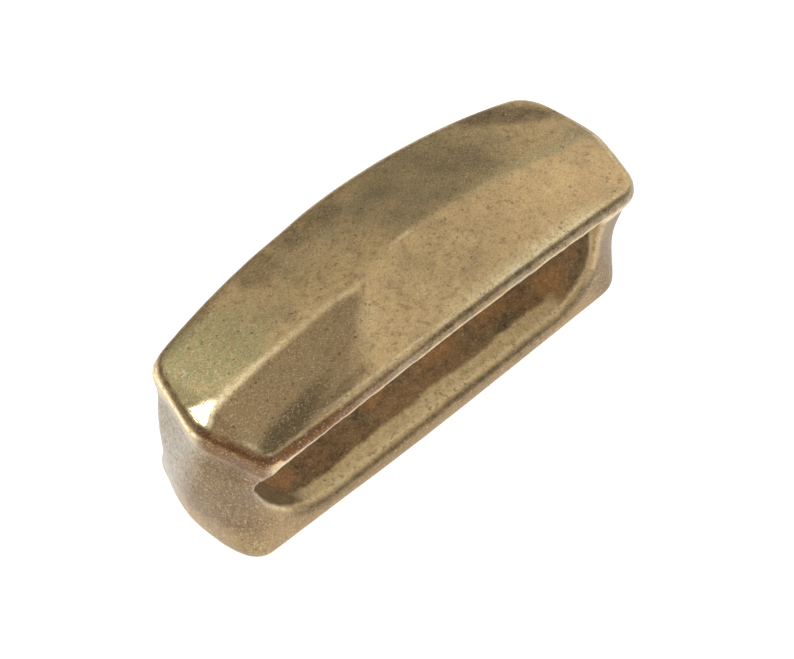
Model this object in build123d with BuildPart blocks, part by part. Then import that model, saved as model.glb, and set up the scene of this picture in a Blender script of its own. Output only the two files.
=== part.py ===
from build123d import *
import os

# Strap slider: one bronze casting, a closed loop that a strap is threaded through.
# X runs along the loop, Y is the way the strap passes, Z is up from the flat underside.
# The two ends are not quite alike: the cap reaches further out past the body at +X.

# Level outlines: lengths from the middle to the keel of the -X and the +X end, half widths at
# the middle and at the corners of each end, the rounding of the corners at each end, and how
# far the end walls fall back for each millimetre from the keel
CAP_PLAN = (19.5, 20.25), 7.25, (6.15, 5.95), (1.5, 2.8), 0.28
TOP_PLAN = (19.4, 20.15), 7.15, (6.05, 5.85), (1.5, 2.8), 0.28
FLARE_PLAN = (19.3, 19.2), 6.75, (5.9, 5.75), (2.0, 2.4), 0.23
NECK_PLAN = (19.7, 18.6), 5.8, (5.1, 5.55), (3.4, 3.0), 0.21
FOOT_PLAN = (19.5, 18.1), 5.85, (5.6, 5.65), (1.5, 1.9), 0.21
KEEL_ROUND = 4.0

# Heights of the outlines
FOOT_HEIGHT = 1.2
NECK_HEIGHT = 6.3
FLARE_HEIGHT = 9.0
BODY_TOP = 10.8
CAP_TOP = 16.0

# The ridge of the cap: an arch that has fallen by RIDGE_FALL at ARCH_SPAN from its peak
RIDGE_TOP = 14.8
RIDGE_PEAK_X = -1.1
ARCH_SPAN = 17.3
RIDGE_FALL = 3.34
ROOF_SLOPE_MIDDLE = 0.15
ROOF_SLOPE_END = 0.06

# The cap's rim: the body reaches into it, and it hangs a little below the slot's roof
RIM_THICKNESS = 1.25
RIM_HANG = 0.25
BODY_REACH = 0.2

# The slot, from the -X end to the +X end, above the bar
BAR_THICKNESS = 1.65
SLOT_ENDS = (-17.8, 14.4)
SLOT_FLOOR_ROUNDS = (7.2, 4.0)
SLOT_ROOF_ROUND = 1.0

# Rounded edges
RIDGE_ROUND = 1.5
RIM_ROUND = 0.7
BASE_ROUND = 0.6

# The cutting shapes reach past the casting by this much
REACH_X = 22.0
REACH_Y = 9.0


def arch_share(x):
    """How far along the arch x is: 0 at the peak, 1 at ARCH_SPAN from it."""
    return ((x - RIDGE_PEAK_X) / ARCH_SPAN) ** 2


def ridge_height(x):
    return RIDGE_TOP - RIDGE_FALL * arch_share(x)


def roof_slope(x):
    """How steeply the two facets fall away from the ridge at x."""
    return ROOF_SLOPE_MIDDLE + (ROOF_SLOPE_END - ROOF_SLOPE_MIDDLE) * arch_share(x)


def roof_height(x):
    """Height of the slot's roof at x, a rim's thickness below the cap's bowed edge."""
    middle, corners = CAP_PLAN[1:3]
    half_width = middle - (middle - corners[0]) * (x / ARCH_SPAN) ** 2
    return ridge_height(x) - roof_slope(x) * half_width - RIM_THICKNESS


def plan_outline(height, reaches, middle, corners, corner_rounds, keel_slope):
    """A level outline at a height, with keeled ends and bowed sides."""
    near_corner = (-(reaches[0] - keel_slope * corners[0]), corners[0])
    far_corner = (reaches[1] - keel_slope * corners[1], corners[1])
    with BuildSketch(Plane.XY.offset(height)) as outline:
        with BuildLine():
            Line((-reaches[0], 0), near_corner)
            ThreePointArc(near_corner, (0, middle), far_corner)
            Line(far_corner, (reaches[1], 0))
            mirror(about=Plane.XZ)
        make_face()
        by_x = outline.vertices().sort_by(Axis.X)
        fillet([by_x[0], by_x[-1]], radius=KEEL_ROUND)
        for (corner_x, corner_y), corner_round in zip((near_corner, far_corner), corner_rounds):
            for side in (1, -1):
                corner = outline.vertices().sort_by_distance((corner_x, side * corner_y))[0]
                fillet(corner, radius=corner_round)
    return outline.sketch


def under_arch(from_x, to_x, floor, raised, floor_rounds=(), roof_round=0):
    """The area from a level floor up to the slot's roof line, raised by an amount."""
    roof_points = [(x, roof_height(x) + raised) for x in (from_x, RIDGE_PEAK_X, to_x)]
    with BuildSketch(Plane.XZ) as area:
        with BuildLine():
            roof = ThreePointArc(*roof_points)
            Polyline(roof @ 1, (to_x, floor), (from_x, floor), roof @ 0)
        make_face()
        if roof_round:
            fillet(area.vertices().sort_by(Axis.Y)[-2:], radius=roof_round)
        for corner_x, corner_round in zip((from_x, to_x), floor_rounds):
            fillet(area.vertices().sort_by_distance((corner_x, floor))[0], radius=corner_round)
    return area.sketch


with BuildPart() as cap:
    extrude(plan_outline(NECK_HEIGHT, *CAP_PLAN), amount=CAP_TOP - NECK_HEIGHT)

    # Two facets that fall away from a lengthwise ridge, all arched
    for station in (-REACH_X, -REACH_X / 2, RIDGE_PEAK_X, REACH_X / 2, REACH_X):
        eaves = ridge_height(station) - roof_slope(station) * REACH_Y
        with BuildSketch(Plane.YZ.offset(station)):
            with BuildLine():
                Polyline(
                    (-REACH_Y, 0),
                    (-REACH_Y, eaves),
                    (0, ridge_height(station)),
                    (REACH_Y, eaves),
                    (REACH_Y, 0),
                    close=True,
                )
            make_face()
    loft(mode=Mode.INTERSECT)
    fillet(cap.edges().sort_by(Axis.Z)[-1], radius=RIDGE_ROUND)

    # The rounded rim, where the walls meet the facets
    walls = cap.faces().filter_by(lambda face: abs(face.normal_at().Z) < 0.01)
    fillet(walls.edges().filter_by(GeomType.BSPLINE), radius=RIM_ROUND)

    # The arched space below the rim
    extrude(
        under_arch(-REACH_X, REACH_X, 0, -RIM_HANG),
        amount=REACH_Y,
        both=True,
        mode=Mode.SUBTRACT,
    )

with BuildPart() as slider_casting:
    # The body: a foot, a hollowed neck, and a flare that carries the cap
    loft(
        [
            plan_outline(0, *FOOT_PLAN),
            plan_outline(FOOT_HEIGHT, *FOOT_PLAN),
            plan_outline(NECK_HEIGHT, *NECK_PLAN),
            plan_outline(FLARE_HEIGHT, *FLARE_PLAN),
            plan_outline(BODY_TOP, *TOP_PLAN),
        ]
    )
    fillet(slider_casting.faces().sort_by(Axis.Z)[0].edges(), radius=BASE_ROUND)
    extrude(
        under_arch(-REACH_X, REACH_X, 0, BODY_REACH),
        amount=REACH_Y,
        both=True,
        mode=Mode.INTERSECT,
    )
    add(cap.part)

    # The slot that the strap passes through
    slot_outline = under_arch(*SLOT_ENDS, BAR_THICKNESS, 0, SLOT_FLOOR_ROUNDS, SLOT_ROOF_ROUND)
    extrude(slot_outline, amount=REACH_Y, both=True, mode=Mode.SUBTRACT)

os.makedirs("parts", exist_ok=True)
slider_casting.part.label = "slider_casting"
export_step(slider_casting.part, "parts/slider_casting.step")
print("volume", slider_casting.part.volume, "valid", slider_casting.part.is_valid)
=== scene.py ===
"""Looks of the strap slider: one bronze casting with a worn, patinated surface.

The casting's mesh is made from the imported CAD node: remeshed into small even quads, given
the soft edges and small unevenness of a hand-finished casting, and painted with masks that
its node material reads. Places and lengths are in millimetres in the CAD's frame, apart from
those of the floor and the lamps, which are in metres. The near end is the one at -X, and the
front is at -Y.
"""

import math

import bpy
import numpy as np
from mathutils import Matrix, Vector, noise


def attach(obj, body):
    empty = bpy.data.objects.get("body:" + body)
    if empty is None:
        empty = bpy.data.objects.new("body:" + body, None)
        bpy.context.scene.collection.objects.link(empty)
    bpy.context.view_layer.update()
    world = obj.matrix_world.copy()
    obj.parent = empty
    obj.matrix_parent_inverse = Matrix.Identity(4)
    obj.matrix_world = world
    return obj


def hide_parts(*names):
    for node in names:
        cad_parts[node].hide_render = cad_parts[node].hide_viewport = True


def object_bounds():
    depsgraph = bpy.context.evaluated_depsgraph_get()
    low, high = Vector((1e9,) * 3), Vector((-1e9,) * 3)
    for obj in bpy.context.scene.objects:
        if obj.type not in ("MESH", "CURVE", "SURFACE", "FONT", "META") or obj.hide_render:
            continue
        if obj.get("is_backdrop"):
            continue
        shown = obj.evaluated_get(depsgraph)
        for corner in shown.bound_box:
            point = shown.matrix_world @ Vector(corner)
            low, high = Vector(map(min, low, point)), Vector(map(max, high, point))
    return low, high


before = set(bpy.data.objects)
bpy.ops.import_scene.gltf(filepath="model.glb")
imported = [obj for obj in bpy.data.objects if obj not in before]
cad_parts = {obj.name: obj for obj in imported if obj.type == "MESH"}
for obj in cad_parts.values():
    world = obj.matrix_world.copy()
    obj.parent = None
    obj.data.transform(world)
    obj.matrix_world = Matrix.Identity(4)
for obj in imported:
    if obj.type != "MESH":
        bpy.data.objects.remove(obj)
cad_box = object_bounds()

MM = 0.001

# The camera, from the -X, -Y side and above
CAMERA_AZIMUTH = math.radians(-42.389)
CAMERA_ELEVATION = math.radians(53.867)
CAMERA_ROLL = math.radians(-1.19)
CAMERA_DISTANCE = 383 * MM
CAMERA_AIM = Vector((-0.977, -1.379, 7.275)) * MM
CAMERA_LENS = 248.2
CAMERA_SENSOR = 36
CAMERA_CLIP_START = 10 * MM

# The quads' size in the two remeshes, before and after the large changes of shape
ROUGH_VOXEL = 0.2
FINE_VOXEL = 0.171

# The slot, as in the CAD: its ends, the rounds and height of its floor, the height of its
# middle line, and where its mouths are
SLOT_ENDS = (-17.8, 14.4)
SLOT_FLOOR_ROUNDS = (7.2, 4.0)
SLOT_FLOOR = 1.65
SLOT_MIDDLE_HEIGHT = 6.0
MOUTH = 5.8

# The cap, as in the CAD but for its outline, which is worn at the near end: its arched ridge,
# the slopes of its facets at the middle and ends, and the outline's reach, pointed ends, half
# widths and corners
RIDGE_PEAK_X = -1.1
RIDGE_TOP = 14.8
ARCH_SPAN = 17.3
RIDGE_FALL = 3.34
FACET_SLOPES = (0.15, 0.06)
CAP_REACHES = (-19.05, 20.25)
CAP_KEEL_SLOPE = 0.28
CAP_KEEL_ROUND = 0.3
CAP_HALF_WIDTHS = (7.25, 6.15)
CAP_CORNER_ROUND = 1.5

# The round worn on the cap's edge: its width at the front and back, what the near end adds to
# that, and its depth as a share of its width
FRONT_ROUND = (0.48, 0.32)
BACK_ROUND = (0.3, 0.38)
EDGE_ROUND_DEPTH = 0.9

# How far the large changes of shape move the surface
END_WEAR = 0.45
CORNER_TRIM = 0.22
RIM_HANG = 0.65
SLOT_END_LEAN = (0.45, 0.15)
FAR_CORNER_LIFT = 0.45
END_SKEW = 0.035
FOOT_BOW = 0.25
NECK_FULLNESS = (0.32, 0.12)
FOOT_TRIM = 0.35

# Rounds of smoothing: everywhere, then at the places that soften_places() gives
OVERALL_ROUNDS = 4
MOUTH_ROUNDS = 7
END_WALL_ROUNDS = 50
NECK_ROUNDS = 120
FAR_RIDGE_ROUNDS = 30
LIP_ROUNDS = 8

# The waves of the surface: height, size and seed
WAVES = ((0.035, 7.0, 1), (0.014, 2.6, 2))

# The small polished flat at the near end of the ridge: its corners, its middle, its slopes along
# X and Y, and how far its middle is below the ridge
TIP_FLAT = ((-18.5, 2.2), (-17.2, 1.15), (-16.4, 0.3), (-17.9, -0.9), (-18.6, -0.8))
TIP_MIDDLE = (-17.3, 0.4)
TIP_TILT = (0.41, -0.04)
TIP_DEPTH = 0.05


def smoothstep(low, high, value):
    """0 below low, 1 above high, and a soft step between. low may be above high."""
    share = np.clip((value - low) / (high - low), 0, 1)
    return share * share * (3 - 2 * share)


def bump(centre, half_width, value):
    """1 at the centre, falling softly to 0 at half_width from it."""
    return smoothstep(half_width, 0, np.abs(value - centre))


def wander(points, size, seed):
    """Smooth noise from about -1 to 1 over the points. Each seed gives its own pattern."""
    shift = Vector((seed * 17.3, seed * 5.1, seed * 9.7))
    return np.array([noise.noise(Vector(p) / size + shift) for p in points])


def ridge_line(x):
    """Where the ridge runs: filed a little to the front, then back to the middle."""
    bowed = 0.3 * smoothstep(-15, -9, x) + 0.4 * smoothstep(-7.5, -4, x)
    return 0.88 * smoothstep(-4, -1.4, x) - bowed


def facet_height(x, y, ridge=0.0):
    """Height of the cap's two facets, before any edge is broken."""
    share = ((x - RIDGE_PEAK_X) / ARCH_SPAN) ** 2
    slope = FACET_SLOPES[0] + (FACET_SLOPES[1] - FACET_SLOPES[0]) * share
    return RIDGE_TOP - RIDGE_FALL * share - slope * np.abs(y - ridge)


def from_rim(x, y):
    """How far a place is inside the cap's outline, seen from above."""
    keel = CAP_KEEL_SLOPE * np.sqrt(y**2 + CAP_KEEL_ROUND)
    from_end = np.minimum(x - CAP_REACHES[0] - keel, CAP_REACHES[1] - keel - x)
    middle, corner = CAP_HALF_WIDTHS
    from_side = middle - (middle - corner) * (x / ARCH_SPAN) ** 2 - np.abs(y)
    to_corner = [np.maximum(CAP_CORNER_ROUND - inside, 0) for inside in (from_end, from_side)]
    in_corner = CAP_CORNER_ROUND - np.hypot(*to_corner)
    return np.where(in_corner < CAP_CORNER_ROUND, in_corner, np.minimum(from_end, from_side))


def bevel_width(x, y):
    """Width of the round worn on the cap's edge: broad at the near end, narrow further on."""
    front = FRONT_ROUND[0] + FRONT_ROUND[1] * smoothstep(-7, -16, x)
    back = BACK_ROUND[0] + BACK_ROUND[1] * smoothstep(-15.5, -17.5, x)
    return np.where(y < 0, front, back)


def inside_patch(x, y, corners, edge):
    """1 inside a level polygon, softly 0 outside. Its corners go round clockwise."""
    inside = np.ones(len(x))
    for (ax, ay), (bx, by) in zip(corners, corners[1:] + corners[:1]):
        length = math.hypot(bx - ax, by - ay)
        depth = ((by - ay) * (x - ax) - (bx - ax) * (y - ay)) / length
        inside *= smoothstep(-edge, edge, depth)
    return inside


class Surface:
    """The points of the casting's mesh in millimetres, with what is worked out from them."""

    def __init__(self, mesh):
        self.mesh = mesh
        points = np.empty(len(mesh.vertices) * 3)
        mesh.vertices.foreach_get("co", points)
        self.points = points.reshape(-1, 3) / MM
        edges = np.empty(len(mesh.edges) * 2, np.int64)
        mesh.edges.foreach_get("vertices", edges)
        edges = edges.reshape(-1, 2)
        self.ends = np.concatenate([edges[:, 0], edges[:, 1]])
        self.others = np.concatenate([edges[:, 1], edges[:, 0]])
        self.neighbours = np.bincount(self.ends, minlength=len(self.points))

    def mean(self, values):
        """The mean of the values at each point's neighbours."""
        size = len(self.points)
        if values.ndim == 1:
            return np.bincount(self.ends, values[self.others], size) / self.neighbours
        return np.stack([self.mean(values[:, k]) for k in range(values.shape[1])], 1)

    def soften(self, rounds, weight=1.0):
        """Smooths the points. weight, from 0 to 1, may differ from point to point."""
        weight = np.broadcast_to(weight, len(self.points))[:, None]
        for _ in range(rounds):
            self.points = self.points + 0.5 * weight * (self.mean(self.points) - self.points)

    def blur(self, values, rounds):
        """The values, each averaged with its neighbours' over and over."""
        for _ in range(rounds):
            values = 0.5 * values + 0.5 * self.mean(values)
        return values

    def normals(self):
        """Each point's normal. Stores the points first."""
        self.store()
        normals = np.empty(len(self.points) * 3)
        self.mesh.vertices.foreach_get("normal", normals)
        return normals.reshape(-1, 3)

    def store(self):
        """Writes the points back to the mesh."""
        self.mesh.vertices.foreach_set("co", (self.points * MM).ravel())
        self.mesh.update()

    def bend(self):
        """How convex the surface is at each point: positive on edges, negative in hollows."""
        inward = self.points - self.blur(self.points, 6)
        return self.blur((inward * self.normals()).sum(1), 2)


def remeshed(mesh, voxel):
    """A new mesh of even small quads in the shape of a mesh."""
    scratch = bpy.data.objects.new("scratch", mesh)
    bpy.context.scene.collection.objects.link(scratch)
    remesh = scratch.modifiers.new("remesh", "REMESH")
    remesh.mode = "VOXEL"
    remesh.voxel_size = voxel * MM
    depsgraph = bpy.context.evaluated_depsgraph_get()
    even_mesh = bpy.data.meshes.new_from_object(scratch.evaluated_get(depsgraph))
    bpy.data.objects.remove(scratch)
    return even_mesh


def floor_round_centres():
    """Where the rounds at the near and far ends of the slot's floor have their centres, on X."""
    near_round, far_round = SLOT_FLOOR_ROUNDS
    return SLOT_ENDS[0] + near_round, SLOT_ENDS[1] - far_round


def in_slot(points, normals):
    """1 on the slot's floor, ends and roof, and 0 on the outside."""
    x, _, z = points.T
    inward = np.stack([np.clip(x, *floor_round_centres()) - x, SLOT_MIDDLE_HEIGHT - z], 1)
    inward /= np.linalg.norm(inward, axis=1)[:, None]
    return smoothstep(0.25, 0.55, (inward * normals[:, (0, 2)]).sum(1))


def slot_depth(x, z):
    """How far a place is inside the slot's outline, seen from the front."""
    near_round, far_round = SLOT_FLOOR_ROUNDS
    near_centre, far_centre = floor_round_centres()
    below_near = np.minimum(z - SLOT_FLOOR - near_round, 0)
    below_far = np.minimum(z - SLOT_FLOOR - far_round, 0)
    at_near = near_round - np.hypot(x - near_centre, below_near)
    at_far = far_round - np.hypot(x - far_centre, below_far)
    between = np.where(x < near_centre, at_near, z - SLOT_FLOOR)
    return np.where(x > far_centre, at_far, between)


def mouth_edges(points):
    """1 round the slot's two mouths, below its roof."""
    x, y, z = points.T
    return bump(MOUTH, 1.3, np.abs(y)) * bump(0, 1.4, slot_depth(x, z)) * (z < 10)


def carve_cap(surface):
    """A crooked ridge, and a cap worn back at its near end and rounded at its edge."""
    x, y, z = surface.points.T
    shift = facet_height(x, y, ridge_line(x)) - facet_height(x, y)
    surface.points[:, 2] += shift * smoothstep(1.0, 0.5, facet_height(x, y) - z)

    rim = smoothstep(7.8, 9.6, z)
    surface.points[:, 0] += END_WEAR * smoothstep(-16.5, -18.5, x) * rim
    corner = smoothstep(-12, -17, x) * smoothstep(-4.8, -6.2, y)
    surface.points[:, 1] += CORNER_TRIM * corner * smoothstep(9.6, 10.6, z)
    hang = smoothstep(-9.5, -14.5, x) * smoothstep(-4, -5.6, y) * bump(9.6, 2.3, z)
    surface.points[:, 2] -= RIM_HANG * hang

    width = bevel_width(x, y)
    share = np.clip(1 - from_rim(x, y) / width, 0, 1)
    limit = facet_height(x, y) - EDGE_ROUND_DEPTH * width * (1 - np.sqrt(1 - share**2))
    worn = (z > limit) & (z > 9) & (share > 0)
    surface.points[worn, 2] = limit[worn]


def carve_ends(surface):
    """The slot's leaning near end, the lifted far corner of the rim, and an uneven near end.

    x, y and z are views of the points, so each change starts from the ones before it.
    """
    x, y, z = surface.points.T
    lean = smoothstep(-18.9, -17.4, x) * smoothstep(-8, -12, x) * bump(5.5, 5.0, z)
    surface.points[:, 0] += SLOT_END_LEAN[0] * lean
    surface.points[:, 2] += SLOT_END_LEAN[1] * lean * smoothstep(6, 3, z)

    lift = smoothstep(12, 18, x) * smoothstep(-4, -6, y) * bump(10.2, 1.8, z)
    lift *= smoothstep(0.4, 1.1, facet_height(x, y) - z)
    surface.points[:, 2] += FAR_CORNER_LIFT * lift

    # The near end wall stands askew, its foot bowed at the front and its neck full at the back
    skew = smoothstep(-14, -19, x) * smoothstep(9, 2, z)
    surface.points[:, 0] += END_SKEW * y * skew
    bow = smoothstep(-16, -18, x) * smoothstep(5, 1, z) * bump(-3, 2.8, y)
    surface.points[:, 0] -= FOOT_BOW * bow
    fuller = smoothstep(-15, -17.5, x) * bump(7.4, 2.6, z) * smoothstep(1, 3.5, y)
    surface.points[:, 0] -= NECK_FULLNESS[0] * fuller
    surface.points[:, 1] += NECK_FULLNESS[1] * fuller
    trimmed = smoothstep(-15, -17.5, x) * smoothstep(5.2, 2.5, z) * smoothstep(2, 4.5, y)
    surface.points[:, 0] += FOOT_TRIM * trimmed


def soften_places(surface):
    """Softens the whole casting a little, and its worn places more."""
    surface.soften(OVERALL_ROUNDS)
    surface.soften(MOUTH_ROUNDS, mouth_edges(surface.points))
    x, y, z = surface.points.T
    end_wall = smoothstep(-17, -18.5, x) * smoothstep(9.5, 8, z)
    neck = smoothstep(-16, -18, x) * bump(7.0, 2.6, z) * smoothstep(0, 2.5, y)
    far_ridge = smoothstep(3, 10, x) * bump(0, 2.5, y) * smoothstep(8, 10, z)
    lip = bump(0, 1.2, facet_height(x, y) - 1.4 - z) * smoothstep(4.5, 5.5, np.abs(y))
    surface.soften(END_WALL_ROUNDS, end_wall)
    surface.soften(NECK_ROUNDS, neck)
    surface.soften(FAR_RIDGE_ROUNDS, far_ridge)
    surface.soften(LIP_ROUNDS, lip)


def add_waves(surface):
    """The slight unevenness of a hand-finished casting, less on the facets."""
    normals = surface.normals()
    waves = sum(height * wander(surface.points, size, seed) for height, size, seed in WAVES)
    top = smoothstep(0.2, 0.8, normals[:, 2]) * smoothstep(9, 10, surface.points[:, 2])
    surface.points += normals * (waves * (1 - 0.35 * top))[:, None]


def flatten_tip(surface):
    """Brings the polished flat at the tip of the ridge to its own plane."""
    x, y, z = surface.points.T
    flat = facet_height(TIP_MIDDLE[0], 0) - TIP_DEPTH
    flat += TIP_TILT[0] * (x - TIP_MIDDLE[0]) + TIP_TILT[1] * (y - TIP_MIDDLE[1])
    share = inside_patch(x, y, TIP_FLAT, 0.25) * smoothstep(0.35, 0.65, from_rim(x, y))
    share *= np.abs(z - flat) < 0.4
    surface.points[:, 2] += share * (flat - z)


def spot(points, centre, reach, turn, seed, ragged=0.3, edge=0.4):
    """A soft blotch on the top or floor: its level centre and half lengths, turned about Z."""
    x, y = points[:, 0] - centre[0], points[:, 1] - centre[1]
    c, s = math.cos(math.radians(turn)), math.sin(math.radians(turn))
    across = np.hypot((c * x + s * y) / reach[0], (-s * x + c * y) / reach[1])
    close = np.abs(across) < 2
    uneven = np.zeros(len(points))
    uneven[close] = wander(points[close], 1.4, 30 + seed)
    return smoothstep(1 + edge, 1 - edge, across + ragged * uneven)


def spots(points, table, seed):
    """Several blotches added up. Each row has a centre, half lengths, turn and strength."""
    total = np.zeros(len(points))
    for number, (centre, reach, turn, strength) in enumerate(table):
        total += strength * spot(points, centre, reach, turn, seed + number)
    return total


# Blotches, each with its level centre and half lengths, its turn in degrees, and its strength
FRONT_GRIME = (
    ((-14.1, -4.9), (3.3, 1.0), 7, 0.62),
    ((-9.9, -5.7), (2.6, 0.4), 4, 0.30),
)
BACK_GRIME = (
    ((-7.5, 5.6), (1.7, 1.3), 20, 0.40),
    ((-2.4, 5.8), (2.6, 1.0), 0, 0.42),
    ((3.6, 5.0), (1.6, 1.3), -40, 0.15),
    ((8.8, 3.5), (4.2, 1.3), -38, 0.18),
    ((15.6, 4.7), (4.2, 1.0), -27, 0.62),
    ((-13.5, 6.0), (3.0, 0.7), 10, 0.25),
)
SLOT_RUST = (
    ((-13.4, -2.4), (1.5, 1.0), 0, 0.9),
    ((-3.8, -1.7), (0.9, 0.5), 0, 0.7),
    ((2.5, -1.8), (1.7, 0.6), 0, 0.7),
    ((12.3, -3.4), (1.0, 1.6), 10, 0.55),
    ((7.6, -1.9), (1.2, 0.5), 0, 0.4),
)

# The corners of the olive part of the back facet
OLIVE_PATCH = ((-1.0, 6.8), (11.0, 6.8), (13.0, 0.0), (1.0, 0.0))

# The masks that the material reads, three to each colour layer of the mesh
LAYERS = {
    "tones": ("grime_and_shade", "copper", "green"),
    "wear_and_light": ("pale", "polish", "shade_and_brown"),
    "places": ("wear_and_highlight", "flank", "slot"),
    "patina": ("olive", "silver", "end_wall"),
}


class Areas:
    """The parts of the surface, as soft masks, and the measures that they come from."""

    def __init__(self, surface):
        self.points, normals = surface.points, surface.normals()
        self.x, self.y, self.z = x, y, z = self.points.T
        self.bend = surface.bend()
        self.slot = in_slot(self.points, normals)
        self.outside = 1 - self.slot
        self.roof = smoothstep(-0.3, -0.7, normals[:, 2])
        self.mouth = bump(0, 0.9, slot_depth(x, z)) * smoothstep(9, 7.5, z)
        self.cap = smoothstep(9.4, 10.0, z) * self.outside
        self.below_cap = (1 - self.cap) * self.outside
        self.front, self.back = y < 0, y >= 0
        self.near = smoothstep(-8, -15, x)
        self.near_end = smoothstep(-16.5, -17.5, x)
        self.near_back = self.near_end * smoothstep(-1.0, 0.2, y)
        self.mark_cap()

    def mark_cap(self):
        """The cap's facets, its rim, the band below its edge, and the face outside the band."""
        self.inside = from_rim(self.x, self.y)
        self.width = bevel_width(self.x, self.y)
        self.below_facet = facet_height(self.x, self.y) - self.z
        self.top = self.cap * smoothstep(0.75, 1.05, self.inside / self.width)
        self.rim = self.cap * (1 - self.top)
        depth = 0.65 * self.width + np.where(self.x < -16, 0.0, 0.4)
        self.band = self.rim * smoothstep(0.03, 0.15, self.below_facet) * (1 - self.near_back)
        self.band *= smoothstep(depth + 0.1, depth - 0.1, self.below_facet)
        self.outer_face = self.rim * self.near_end * (1 - self.near_back) * (1 - self.band)


def paint_facets(at, masks):
    """The facets: painted shade on the near flat, green and olive patina (partly painted shade),
    dirt.
    """
    x, y, points = at.x, at.y, at.points
    # Painted shade on the front facet's near flat, as a dim reflection, up to a slanting edge
    slant_end = x + 4.2 - 0.9 * (y + 1.2)
    slant_end += 0.3 * wander(points, 1.8, 19) + 0.25 * wander(points, 0.7, 28)
    slant_edge = 0.5 + 0.4 * np.clip(-1.2 - y, 0, 5)
    flat_side = smoothstep(-0.15, -0.55, y - ridge_line(x))
    masks["shade_and_brown"] += 0.78 * at.top * smoothstep(slant_edge, -slant_edge, slant_end) * flat_side
    masks["grime_and_shade"] += at.top * at.front * spots(points, FRONT_GRIME, 1)
    masks["grime_and_shade"] += at.top * at.back * spots(points, BACK_GRIME, 4)
    masks["green"] += 0.9 * at.top * at.back * spot(points, (-15, 3), (4.5, 3.4), -10, 2)

    ragged = 2.0 * wander(points, 2.6, 24)
    patch = inside_patch(x + ragged, y, OLIVE_PATCH, 2.0)
    far_ridge = bump(0, 1, (y - 0.04 * (x - 10)) / 0.9) * smoothstep(4, 10, x)
    olive = (0.38 + 0.2 * wander(points, 1.5, 25)) * patch + 0.25 * far_ridge
    # The whole back facet takes some olive: partly patina, partly painted shade of that facet
    olive += 0.22 * np.maximum(smoothstep(0.2, 2.8, y), smoothstep(-1, 2, x))
    behind_ridge = smoothstep(-0.3, 0.2, y - ridge_line(x) + 0.35 * smoothstep(8, 14, x))
    masks["olive"] += olive * at.top * behind_ridge
    masks["green"] += 0.35 * at.top * far_ridge

    tarnish = at.top * at.front * (0.10 + 0.16 * wander(points, 1.7, 32))
    tarnish *= smoothstep(-5, 4, x) * smoothstep(19, 15, x)
    masks["grime_and_shade"] += 0.6 * tarnish
    masks["copper"] += 0.5 * tarnish


def paint_facet_highlights(at, masks):
    """Painted highlights, partly worn metal: the ridge, a strip along the front, the tip's flat.
    """
    x, y, points = at.x, at.y, at.points
    # A painted highlight on the worn ridge, strongest at the near end, and a short one after its
    # jog
    ridge = bump(0, 1, (y - ridge_line(x)) / (0.35 + 0.25 * smoothstep(-11, -17, x)))
    along = 0.25 * smoothstep(-2.5, -4.5, x) + 0.35 * smoothstep(-8, -14, x)
    masks["wear_and_highlight"] += at.top * ridge * along
    masks["wear_and_highlight"] += 0.6 * at.top * bump(0.2, 0.25, y) * bump(1.2, 1.6, x)

    # A painted highlight along the front facet's rounded edge, and a faint painted gleam
    strip = at.top * at.front * smoothstep(1.9, 0.5, at.inside + 0.35 * wander(points, 0.9, 21))
    masks["wear_and_highlight"] += 0.5 * strip * smoothstep(-4, 5, x) * smoothstep(17, 11, x)
    gleam = spot(points, (-5.4, -3.2), (1.6, 0.6), 50, 9, ragged=0.6, edge=0.7)
    masks["wear_and_highlight"] += 0.12 * at.top * at.front * gleam
    # A painted highlight on the facets' front edge, strongest at the near end
    edge = at.top * bump(1.2, 0.4, at.inside / at.width) * at.front
    near_edge = at.near_end * smoothstep(-2.5, -5, y)
    masks["wear_and_highlight"] += edge * (0.4 * smoothstep(-15, -9, x) + 0.9 * near_edge)

    # The polished flat at the tip: smooth, and with a painted highlight
    polish = at.top * inside_patch(x, y, TIP_FLAT, 0.25)
    masks["polish"] += polish
    masks["wear_and_highlight"] += polish


def paint_rim(at, masks):
    """The rim: red-brown at the near front; painted reflections: a dark line beyond, a pale lip.
    """
    x, y = at.x, at.y
    outward = np.clip(1 - at.inside / at.width, 0, 1)
    # The band below the edge is darkened as a painted dark reflection, most at the front
    front_dark_reflection = (0.35 + 0.25 * at.near) * smoothstep(-4.5, -6, y)
    masks["grime_and_shade"] += at.band * (0.3 + front_dark_reflection + 0.35 * (1 - at.near) * at.back)
    masks["grime_and_shade"] += 0.15 * at.outer_face
    # A painted dark reflection as a line on the rim at the near end's back
    masks["grime_and_shade"] += 0.6 * at.rim * at.near_back * bump(0.35, 0.35, outward)
    masks["copper"] += 0.95 * at.band * smoothstep(-3, -11, x) + 0.5 * at.outer_face
    # A painted highlight along the near end's back edge
    back_edge = at.near_back * at.cap * smoothstep(0.78, 0.9, outward)
    masks["wear_and_highlight"] += back_edge * smoothstep(0.8, 0.6, at.below_facet)
    # The pale lip is a painted reflection of the floor
    lip = at.outside * bump(1.15, 0.45, at.below_facet) * smoothstep(4, 0, at.inside)
    masks["pale"] += 0.6 * lip * (1 - at.near_end)


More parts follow.
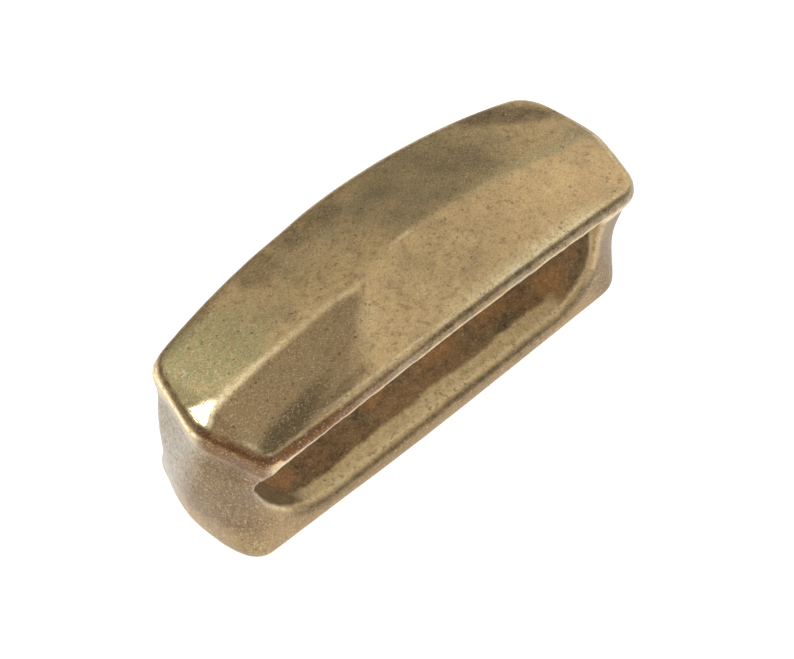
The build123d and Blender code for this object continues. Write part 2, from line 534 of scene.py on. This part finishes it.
def paint_slot(at, masks):
    """The slot: worn bright at mouths and roof, brown between, rust, painted shadows, a
    highlight.
    """
    x, points, from_middle = at.x, at.points, np.abs(at.y)
    lower = at.slot * (1 - at.roof)
    ragged = 0.3 * wander(points, 2.2, 20) + 0.15 * wander(points, 0.7, 26)
    deep = smoothstep(4.0, 3.6, from_middle + ragged)
    worn_floor = smoothstep(-14.0, -12.4, x) * smoothstep(12.2, 10.8, x) * (1 - at.roof)
    # Painted shadow on the floor towards the slot's ends, where it is not worn
    shadow = (1 - deep) * (1 - worn_floor) * smoothstep(5.2, 4.7, from_middle)
    red = 0.3 + 0.35 * wander(points, 2.4, 29)
    masks["slot"] += at.slot
    masks["grime_and_shade"] += lower * ((0.81 - 0.2 * red) * deep + 0.72 * shadow)
    masks["grime_and_shade"] += 0.15 * at.slot * deep * bump(-9, 5, x)
    masks["copper"] += lower * (red * deep + spots(points, SLOT_RUST, 12))
    masks["pale"] += 0.8 * at.slot * at.roof
    masks["wear_and_highlight"] += 0.42 * at.slot * worn_floor * (1 - deep) * smoothstep(5.5, 5.2, from_middle)

    # Along the mouths' lower edges: a painted highlight on the worn edge, and a painted shadow
    # line beside it
    masks["wear_and_highlight"] += 0.65 * lower * at.mouth * bump(5.05, 0.28, from_middle)
    dark_line = at.mouth * bump(5.6, 0.35, from_middle) * smoothstep(5, 3, at.z)
    masks["grime_and_shade"] += 0.75 * dark_line


def paint_walls(at, masks):
    """The outside below the cap: brown, silvery at the near end's back, golden at its foot."""
    x, y, z, points = at.x, at.y, at.z, at.points
    near_flank = smoothstep(-15.5, -18, x)
    end_wall = near_flank * at.below_cap
    leftward = y + 0.3 * (z - 5) + 0.5 * wander(points, 2.0, 22)
    silver = end_wall * smoothstep(-1.0, 2.4, leftward)
    silver += at.near_back * at.rim * smoothstep(0.6, 0.9, at.below_facet)
    masks["end_wall"] += end_wall
    masks["silver"] += silver
    masks["pale"] += 0.6 * silver

    flank = at.below_cap * (0.65 + 0.3 * near_flank)
    flank *= 1 - 0.55 * near_flank * smoothstep(3.8, 1.2, z)
    flank = np.maximum(flank, at.outer_face)
    masks["grime_and_shade"] += flank * (0.15 + 0.2 * wander(points, 3.5, 23)) * smoothstep(-16, -13, x)
    masks["grime_and_shade"] += flank * (0.1 + 0.18 * wander(points, 1.6, 27)) * near_flank
    # Darker towards the far end
    masks["grime_and_shade"] += 0.5 * flank * smoothstep(13.5, 16, x)

    # The foot's brown tone goes into the same mask as the painted shade on the near flat
    foot = end_wall * smoothstep(4, 1.5, z) * bump(-4, 3.5, y)
    masks["green"] += 0.25 * foot
    masks["shade_and_brown"] += 0.6 * foot
    masks["copper"] += 0.12 * foot
    masks["flank"] += flank * (1 - 0.7 * foot)


def paint_edges(at, masks):
    """Worn edges and dirt in hollows."""
    rim_foot = at.cap * smoothstep(0.7, 1.0, at.below_facet)
    worn_edge = smoothstep(0.012, 0.03, at.bend) * at.outside
    worn_edge *= (1 - 0.7 * rim_foot) * (1 - 0.9 * at.near * at.band)
    worn_edge *= 1 - at.mouth * smoothstep(5, 3, at.z)
    masks["pale"] += 0.35 * worn_edge
    masks["grime_and_shade"] += 0.2 * smoothstep(-0.006, -0.02, at.bend)


def paint(surface):
    """Paints the masks for the material into colour layers of the mesh."""
    at = Areas(surface)
    masks = {name: np.zeros(len(at.points)) for names in LAYERS.values() for name in names}
    for paint_part in (
        paint_facets,
        paint_facet_highlights,
        paint_rim,
        paint_slot,
        paint_walls,
        paint_edges,
    ):
        paint_part(at, masks)
    for layer, names in LAYERS.items():
        attribute = surface.mesh.color_attributes.new(layer, "FLOAT_COLOR", "POINT")
        channels = np.stack([masks[name] for name in names] + [np.ones(len(at.points))], 1)
        attribute.data.foreach_set("color", np.clip(channels, 0, 1).astype(np.float32).ravel())


def make_slider():
    """The visible piece, which takes the place of the casting's CAD node."""
    rough = remeshed(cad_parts["slider_casting"].data.copy(), ROUGH_VOXEL)
    surface = Surface(rough)
    carve_cap(surface)
    carve_ends(surface)
    surface.store()

    mesh = remeshed(rough, FINE_VOXEL)
    mesh.name = "bronze_slider"
    mesh.materials.clear()
    mesh.materials.append(bronze_material())
    surface = Surface(mesh)
    soften_places(surface)
    add_waves(surface)
    flatten_tip(surface)
    surface.store()
    paint(surface)
    mesh.polygons.foreach_set("use_smooth", [True] * len(mesh.polygons))
    mesh.update()

    slider = bpy.data.objects.new("bronze_slider", mesh)
    bpy.context.scene.collection.objects.link(slider)
    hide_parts("slider_casting")
    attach(slider, "root")


class Nodes:
    """Short ways to add and link the nodes of one material."""

    def __init__(self, material):
        material.use_nodes = True
        self.tree = material.node_tree
        self.shader = self.tree.nodes["Principled BSDF"]

    def add(self, kind, inputs=None, **settings):
        """A node with its settings, and its inputs linked or set, by name or number."""
        node = self.tree.nodes.new("ShaderNode" + kind)
        for name, value in settings.items():
            setattr(node, name, value)
        for socket, value in (inputs or {}).items():
            self.set(node.inputs[socket], value)
        return node

    def set(self, socket, value):
        """Links a node's output to the socket, or sets the socket to a plain value."""
        if isinstance(value, bpy.types.NodeSocket):
            self.tree.links.new(value, socket)
        else:
            socket.default_value = value

    def math(self, operation, a, b):
        """The result of one sum, for outputs or plain numbers."""
        return self.add("Math", {0: a, 1: b}, operation=operation).outputs[0]

    def times(self, a, b):
        return self.math("MULTIPLY", a, b)

    def layer(self, name):
        """The three masks of one colour layer of the mesh."""
        colour = self.add("Attribute", attribute_name=name).outputs["Color"]
        return self.add("SeparateColor", {0: colour}).outputs

    def mixed(self, share, a, b):
        """Colour a turning into colour b as share goes from 0 to 1."""
        inputs = {"Factor": share, 6: a, 7: b}
        return self.add("Mix", inputs, data_type="RGBA").outputs[2]

    def remap(self, value, low, high, to_low=0.0, to_high=1.0):
        """value from low to high, softly turned into to_low to to_high."""
        inputs = {"Value": value, 1: low, 2: high, 3: to_low, 4: to_high}
        return self.add("MapRange", inputs, interpolation_type="SMOOTHSTEP").outputs[0]

    def noise(self, place, scale, detail, roughness=0.5):
        """Noise with a scale in waves per unit of place."""
        inputs = {"Vector": place, "Scale": scale, "Detail": detail, "Roughness": roughness}
        return self.add("TexNoise", inputs).outputs[0]

    def stretched(self, place, turn, scale):
        """place turned about Z by an angle in degrees, then scaled along each axis."""
        inputs = {"Vector": place, "Rotation": (0, 0, math.radians(turn))}
        turned = self.add("Mapping", inputs).outputs[0]
        return self.add("Mapping", {"Vector": turned, "Scale": scale}).outputs[0]


# Linear colours of the metal, of what has grown on it, and of its painted highlights and shade
GOLD = (0.70, 0.505, 0.25, 1)
TAN = (0.56, 0.395, 0.195, 1)
OLIVE = (0.25, 0.22, 0.13, 1)
BROWN = (0.24, 0.165, 0.085, 1)
WALL = (0.245, 0.168, 0.098, 1)
SILVER = (0.56, 0.54, 0.49, 1)
DARK = (0.07, 0.05, 0.028, 1)
RUST = (0.20, 0.083, 0.033, 1)
EMBER = (0.46, 0.23, 0.085, 1)
GREEN = (0.42, 0.385, 0.185, 1)
PALE = (0.72, 0.66, 0.53, 1)
CREAM = (0.88, 0.77, 0.55, 1)
HIGHLIGHT_AND_WEAR_GOLD = (0.95, 0.80, 0.475, 1)

# How much each noise raises the surface
RELIEF = {"grain": 0.6, "scratches": 0.5, "scores": 0.5, "pebbles": 0.5, "pits": -0.7}


def material_noises(nodes, place):
    """The noises that break up the colours, the roughness and the relief."""
    scratches = nodes.stretched(place, 40, (1.0, 12, 3))
    scores = nodes.stretched(place, -35, (0.5, 9, 3))
    return {
        "clouds": nodes.noise(place, 0.35, 3),
        "mottling": nodes.noise(place, 1.6, 5, 0.65),
        "pebbles": nodes.noise(place, 3.4, 2, 0.6),
        "grain": nodes.noise(place, 7.0, 2, 0.6),
        "scratches": nodes.noise(scratches, 1.0, 2, 0.6),
        "scores": nodes.noise(scores, 1.0, 2, 0.6),
        "pits": nodes.remap(nodes.noise(place, 2.6, 1), 0.70, 0.76),
    }


def bronze_colour(nodes, mask, noise):
    """The base colour: bare metal, with each coat in turn mixed over it by its share."""
    times, remap = nodes.times, nodes.remap
    mottling, pebbles, grain = noise["mottling"], noise["pebbles"], noise["grain"]
    coats = (
        (remap(noise["clouds"], 0.45, 0.75, 0, 0.4), OLIVE),
        (remap(mottling, 0.46, 0.30, 0, 0.5), BROWN),
        # Painted shade on the front facet's near flat, and the foot's brown
        (mask["shade_and_brown"], BROWN),
        (times(mask["olive"], remap(mottling, 0.25, 0.65, 0.7, 1)), OLIVE),
        (times(mask["green"], remap(mottling, 0.35, 0.6, 0.25, 1)), GREEN),
        (mask["flank"], WALL),
        # Dirt, with painted shadows and dark reflections at the rim and slot
        (times(mask["grime_and_shade"], remap(mottling, 0.25, 0.75, 1.15, 0.8)), DARK),
        (
            times(mask["copper"], remap(mottling, 0.3, 0.65, 0.5, 1)),
            nodes.mixed(mask["slot"], RUST, EMBER),
        ),
        # Worn pale metal, silver and the slot's bright roof, and the lip's painted reflection of
        # the floor
        (mask["pale"], nodes.mixed(mask["silver"], PALE, SILVER)),
        # Painted highlights, partly on worn metal
        (mask["wear_and_highlight"], HIGHLIGHT_AND_WEAR_GOLD),
        (times(mask["end_wall"], remap(pebbles, 0.50, 0.66, 0, 0.22)), DARK),
        (times(mask["end_wall"], remap(pebbles, 0.44, 0.34, 0, 0.12)), PALE),
        (remap(grain, 0.3, 0.5, 0.32, 0), DARK),
        (remap(grain, 0.55, 0.75, 0, 0.35), CREAM),
        # Painted glints on the green parts
        (times(mask["green"], remap(pebbles, 0.60, 0.68, 0, 0.5)), PALE),
        # Painted glints in the highlights
        (times(mask["wear_and_highlight"], remap(pebbles, 0.53, 0.62)), CREAM),
        (times(mask["wear_and_highlight"], remap(pebbles, 0.44, 0.32, 0, 0.8)), BROWN),
        (remap(noise["scratches"], 0.60, 0.78, 0, 0.25), CREAM),
        (remap(noise["scores"], 0.62, 0.78, 0, 0.25), CREAM),
        (times(noise["pits"], 0.45), DARK),
    )
    colour = nodes.mixed(remap(mottling, 0.3, 0.7), TAN, GOLD)
    for share, coat in coats:
        colour = nodes.mixed(share, colour, coat)
    return colour


def bronze_roughness(nodes, mask, noise):
    """Rougher under the dirt and painted shade, and smooth on the polished flat."""
    roughness = nodes.remap(noise["mottling"], 0.25, 0.75, 0.30, 0.42)
    roughness = nodes.math("ADD", roughness, nodes.times(mask["grime_and_shade"], 0.12))
    return nodes.math("SUBTRACT", roughness, nodes.times(mask["polish"], 0.22))


def bronze_relief(nodes, mask, noise):
    """A fine relief, absent on the polished flat and stronger on the near end wall."""
    height = 0.0
    for name, share in RELIEF.items():
        height = nodes.math("ADD", nodes.times(noise[name], share), height)
    height = nodes.times(height, nodes.math("SUBTRACT", 1.0, mask["polish"]))
    height = nodes.times(height, nodes.math("ADD", 1.0, nodes.times(mask["end_wall"], 0.25)))
    inputs = {"Strength": 0.7, "Distance": 0.03 * MM, "Height": height}
    return nodes.add("Bump", inputs).outputs[0]


def bronze_material():
    """The material, which reads its masks from the colour layers that paint() made."""
    material = bpy.data.materials.new("patinated_bronze")
    nodes = Nodes(material)
    metres = nodes.add("TexCoord").outputs["Object"]
    scaling = {0: metres, "Scale": 1 / MM}
    place = nodes.add("VectorMath", scaling, operation="SCALE").outputs[0]
    noise = material_noises(nodes, place)
    mask = {}
    for layer, names in LAYERS.items():
        mask.update(zip(names, nodes.layer(layer)))

    # The slot is dull, and shows its own colour more than reflections
    metallic = nodes.math("SUBTRACT", 1.0, nodes.times(mask["slot"], 0.75))
    nodes.set(nodes.shader.inputs["Base Color"], bronze_colour(nodes, mask, noise))
    nodes.set(nodes.shader.inputs["Metallic"], metallic)
    nodes.set(nodes.shader.inputs["Roughness"], bronze_roughness(nodes, mask, noise))
    nodes.set(nodes.shader.inputs["Normal"], bronze_relief(nodes, mask, noise))
    return material


# The floor's half length in metres, its colours and its glow
FLOOR_REACH = 0.5
FLOOR_COLOUR = (0.9, 0.9, 0.9, 1)
FLOOR_ROUGHNESS = 0.8
FLOOR_GLOW = 0.75

# The studio's colours by height: the upward part of the direction, and the colour there
STUDIO = (
    (0.0, (0.16, 0.12, 0.09, 1)),
    (0.45, (0.42, 0.39, 0.35, 1)),
    (1.0, (0.85, 0.84, 0.82, 1)),
)

# Soft lamps: name, place and size in metres, and power in watts
SOFTBOXES = (
    ("spark", (-0.242, 0.481, 0.789), 0.12, 0.3),
    ("front", (-0.35, -0.85, 0.35), 0.3, 1.2),
    ("side", (0.7, 0.2, 0.35), 0.4, 0.45),
)


def make_floor():
    """A plain white board that glows a little, so that it stays white in the picture."""
    near, far = -FLOOR_REACH, FLOOR_REACH
    corners = [(near, near, 0), (far, near, 0), (far, far, 0), (near, far, 0)]
    mesh = bpy.data.meshes.new("floor")
    mesh.from_pydata(corners, [], [(0, 1, 2, 3)])
    floor = bpy.data.objects.new("floor", mesh)
    bpy.context.scene.collection.objects.link(floor)
    material = bpy.data.materials.new("lit_white_board")
    nodes = Nodes(material)
    nodes.set(nodes.shader.inputs["Base Color"], FLOOR_COLOUR)
    nodes.set(nodes.shader.inputs["Roughness"], FLOOR_ROUGHNESS)
    nodes.set(nodes.shader.inputs["Emission Color"], (1, 1, 1, 1))
    nodes.set(nodes.shader.inputs["Emission Strength"], FLOOR_GLOW)
    mesh.materials.append(material)
    floor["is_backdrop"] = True


def make_softbox(name, place, size, power):
    """A square area light that faces the slider."""
    lamp = bpy.data.lights.new(name, "AREA")
    lamp.size = size
    lamp.energy = power
    light = bpy.data.objects.new(name, lamp)
    bpy.context.scene.collection.objects.link(light)
    light.location = place
    light.rotation_euler = (-Vector(place)).to_track_quat("-Z", "Y").to_euler()


def make_lights():
    """A studio that is bright above and dim at the horizon, and the soft lamps."""
    world = bpy.data.worlds.new("studio")
    world.use_nodes = True
    tree = world.node_tree
    direction = tree.nodes.new("ShaderNodeTexCoord")
    height = tree.nodes.new("ShaderNodeSeparateXYZ")
    ramp = tree.nodes.new("ShaderNodeValToRGB")
    tree.links.new(direction.outputs["Generated"], height.inputs[0])
    tree.links.new(height.outputs["Z"], ramp.inputs[0])
    tree.links.new(ramp.outputs["Color"], tree.nodes["Background"].inputs["Color"])
    stops = ramp.color_ramp.elements
    horizon, middle, overhead = STUDIO
    stops[0].position, stops[0].color = horizon
    stops[1].position, stops[1].color = overhead
    stops.new(middle[0]).color = middle[1]
    bpy.context.scene.world = world
    for softbox in SOFTBOXES:
        make_softbox(*softbox)


def make_camera():
    """A camera at the given distance from what it aims at, turned by its roll."""
    lens = bpy.data.cameras.new("camera")
    lens.lens = CAMERA_LENS
    lens.sensor_fit = "HORIZONTAL"
    lens.sensor_width = CAMERA_SENSOR
    lens.clip_start = CAMERA_CLIP_START
    camera = bpy.data.objects.new("camera", lens)
    bpy.context.scene.collection.objects.link(camera)
    across, forward = math.sin(CAMERA_AZIMUTH), math.cos(CAMERA_AZIMUTH)
    flat, rise = math.cos(CAMERA_ELEVATION), math.sin(CAMERA_ELEVATION)
    back = Vector((across * flat, -forward * flat, rise))
    level = Vector((forward, across, 0))
    right = Matrix.Rotation(CAMERA_ROLL, 3, back) @ level
    up = back.cross(right)
    turn = Matrix((right, up, back)).transposed().to_quaternion()
    camera.matrix_world = Matrix.LocRotScale(CAMERA_AIM + back * CAMERA_DISTANCE, turn, None)
    bpy.context.scene.camera = camera


make_camera()
make_lights()
make_floor()
make_slider()
bpy.context.scene.view_settings.view_transform = "Standard"

boxes = {"cad": cad_box, "visual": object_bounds()}
{name: [list(corner) for corner in box] for name, box in boxes.items()}
